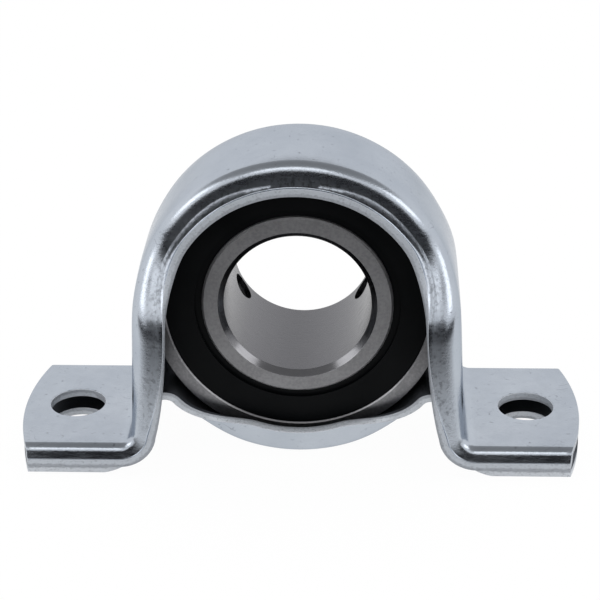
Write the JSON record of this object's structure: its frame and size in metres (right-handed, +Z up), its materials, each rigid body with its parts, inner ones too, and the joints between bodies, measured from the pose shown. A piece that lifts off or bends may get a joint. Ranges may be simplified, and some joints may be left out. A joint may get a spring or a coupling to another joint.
{
  "type": "pillow block bearing",
  "caption": "Two-piece pressed steel pillow block that carries a shaft in a self-aligning sealed ball bearing locked with set screws.",
  "frame": {"origin": "on the mounting plane, midway between the two bolt holes, under the shaft's axis", "axes": "+Z up, away from the mounting plane; +Y along the shaft, towards the set-screw end; +X along the row of bolt holes, to the right in the picture"},
  "size_m": [0.117, 0.041, 0.0661],
  "materials": {
    "zinc_sheet": "bright zinc plated sheet, satin",
    "bearing_steel": "ground bearing steel",
    "ball_steel": "polished bearing steel",
    "cage_steel": "pressed steel ribbon, dull",
    "seal_rubber": "moulded nitrile rubber, satin",
    "black_oxide_steel": "black oxide"
  },
  "bodies": {
    "housing": {"upper_shell": "zinc_sheet", "lower_shell": "zinc_sheet"},
    "outer_race": {"outer_ring": "bearing_steel", "front_seal": "seal_rubber", "front_seal_core": "cage_steel", "rear_seal": "seal_rubber", "rear_seal_core": "cage_steel"},
    "inner_race": {"inner_ring": "bearing_steel"},
    "cage": {"cage_front": "cage_steel", "cage_rear": "cage_steel", "cage_rivets": "cage_steel"},
    "ball_1": {"ball_1": "ball_steel"},
    "ball_2": {"ball_2": "ball_steel"},
    "ball_3": {"ball_3": "ball_steel"},
    "ball_4": {"ball_4": "ball_steel"},
    "ball_5": {"ball_5": "ball_steel"},
    "ball_6": {"ball_6": "ball_steel"},
    "ball_7": {"ball_7": "ball_steel"},
    "ball_8": {"ball_8": "ball_steel"},
    "ball_9": {"ball_9": "ball_steel"},
    "left_screw": {"set_screw_left": "black_oxide_steel"},
    "right_screw": {"set_screw_right": "black_oxide_steel"}
  },
  "joints": [
    {"name": "bearing_alignment", "type": "hinge", "parent": "housing", "child": "outer_race", "pos_m": [0, 0, 0.0333], "axis": [1, 0, 0], "range_deg": [-2, 2]},
    {"name": "inner_spin", "type": "hinge", "parent": "outer_race", "child": "inner_race", "pos_m": [0, 0, 0.0333], "axis": [0, 1, 0], "continuous": true},
    {"name": "cage_orbit", "type": "hinge", "parent": "outer_race", "child": "cage", "pos_m": [0, 0, 0.0333], "axis": [0, 1, 0], "continuous": true},
    {"name": "ball_1_roll", "type": "hinge", "parent": "cage", "child": "ball_1", "pos_m": [0, 0, 0.0563], "axis": [0, 1, 0], "continuous": true},
    {"name": "ball_2_roll", "type": "hinge", "parent": "cage", "child": "ball_2", "pos_m": [0.01478, 0, 0.05092], "axis": [0, 1, 0], "continuous": true},
    {"name": "ball_3_roll", "type": "hinge", "parent": "cage", "child": "ball_3", "pos_m": [0.02265, 0, 0.03729], "axis": [0, 1, 0], "continuous": true},
    {"name": "ball_4_roll", "type": "hinge", "parent": "cage", "child": "ball_4", "pos_m": [0.01992, 0, 0.0218], "axis": [0, 1, 0], "continuous": true},
    {"name": "ball_5_roll", "type": "hinge", "parent": "cage", "child": "ball_5", "pos_m": [0.00787, 0, 0.01169], "axis": [0, 1, 0], "continuous": true},
    {"name": "ball_6_roll", "type": "hinge", "parent": "cage", "child": "ball_6", "pos_m": [-0.00787, 0, 0.01169], "axis": [0, 1, 0], "continuous": true},
    {"name": "ball_7_roll", "type": "hinge", "parent": "cage", "child": "ball_7", "pos_m": [-0.01992, 0, 0.0218], "axis": [0, 1, 0], "continuous": true},
    {"name": "ball_8_roll", "type": "hinge", "parent": "cage", "child": "ball_8", "pos_m": [-0.02265, 0, 0.03729], "axis": [0, 1, 0], "continuous": true},
    {"name": "ball_9_roll", "type": "hinge", "parent": "cage", "child": "ball_9", "pos_m": [-0.01478, 0, 0.05092], "axis": [0, 1, 0], "continuous": true},
    {"name": "left_screw_advance", "type": "slide", "parent": "inner_race", "child": "left_screw", "axis": [0.866, 0, 0.5], "range_m": [0, 0.0012]},
    {"name": "right_screw_advance", "type": "slide", "parent": "inner_race", "child": "right_screw", "axis": [-0.866, 0, 0.5], "range_m": [0, 0.0012]}
  ],
  "couplings": [
    {"joint": "cage_orbit", "follows": "inner_spin", "ratio": 0.39645},
    {"joint": "ball_1_roll", "follows": "inner_spin", "ratio": -2.3108},
    {"joint": "ball_2_roll", "follows": "inner_spin", "ratio": -2.3108},
    {"joint": "ball_3_roll", "follows": "inner_spin", "ratio": -2.3108},
    {"joint": "ball_4_roll", "follows": "inner_spin", "ratio": -2.3108},
    {"joint": "ball_5_roll", "follows": "inner_spin", "ratio": -2.3108},
    {"joint": "ball_6_roll", "follows": "inner_spin", "ratio": -2.3108},
    {"joint": "ball_7_roll", "follows": "inner_spin", "ratio": -2.3108},
    {"joint": "ball_8_roll", "follows": "inner_spin", "ratio": -2.3108},
    {"joint": "ball_9_roll", "follows": "inner_spin", "ratio": -2.3108}
  ]
}
